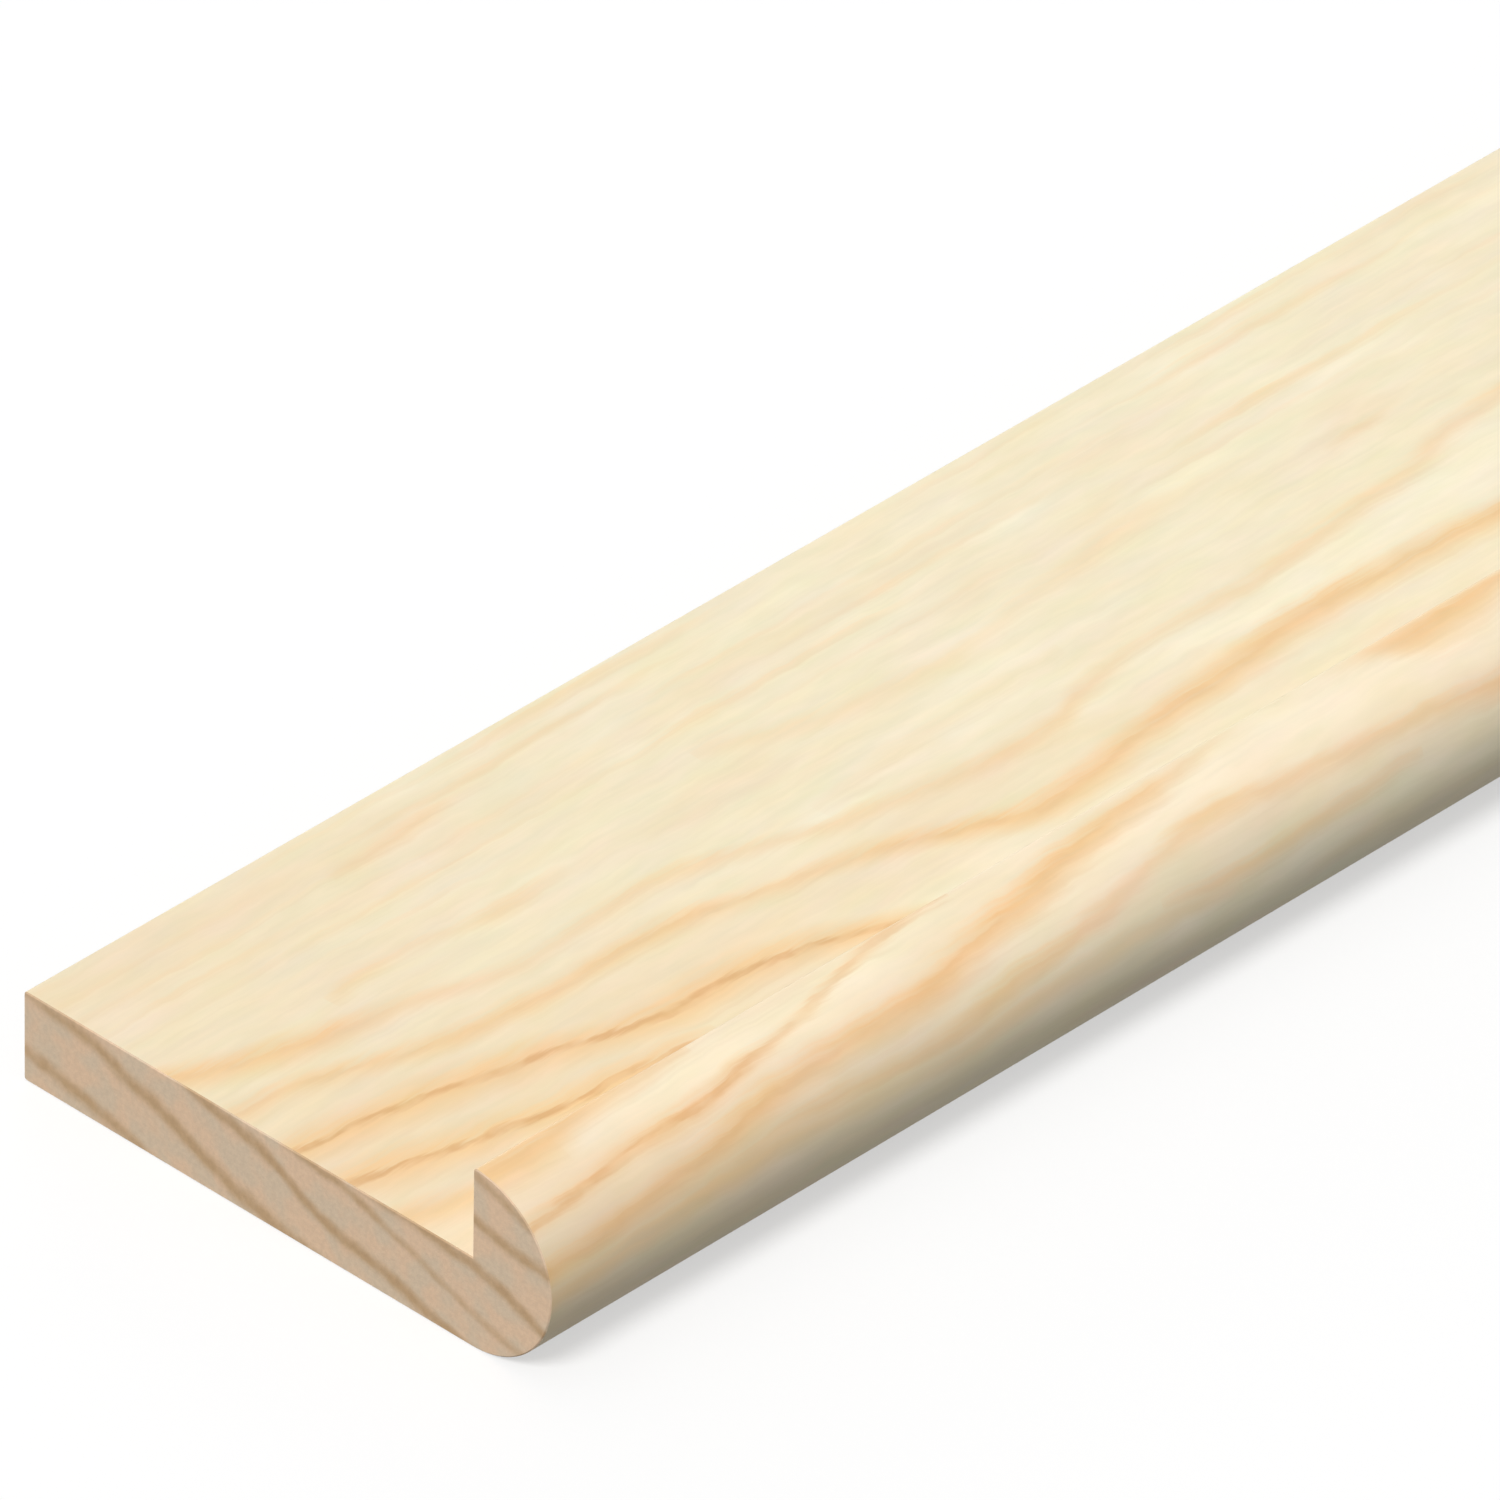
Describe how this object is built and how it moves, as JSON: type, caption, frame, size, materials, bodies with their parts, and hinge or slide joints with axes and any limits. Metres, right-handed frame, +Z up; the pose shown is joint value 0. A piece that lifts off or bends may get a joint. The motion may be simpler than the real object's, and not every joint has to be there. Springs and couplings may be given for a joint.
{
  "type": "hockey stick moulding",
  "caption": "Long flat timber trim strip with a raised lip along its edge, rounded outside and square inside, that covers the edge of a panel or a joint.",
  "frame": {"origin": "middle of the underside of the box: half way along the length, half way across the width, on the flat back", "axes": "+X along the length, with the grain; +Y across the width, from the lip towards the square edge; +Z up from the flat back, the way the lip stands"},
  "size_m": [2.4, 0.034, 0.01],
  "materials": {
    "pine": "planed, unsealed"
  },
  "bodies": {
    "root": {"hockey_stick_moulding": "pine"}
  },
  "joints": []
}
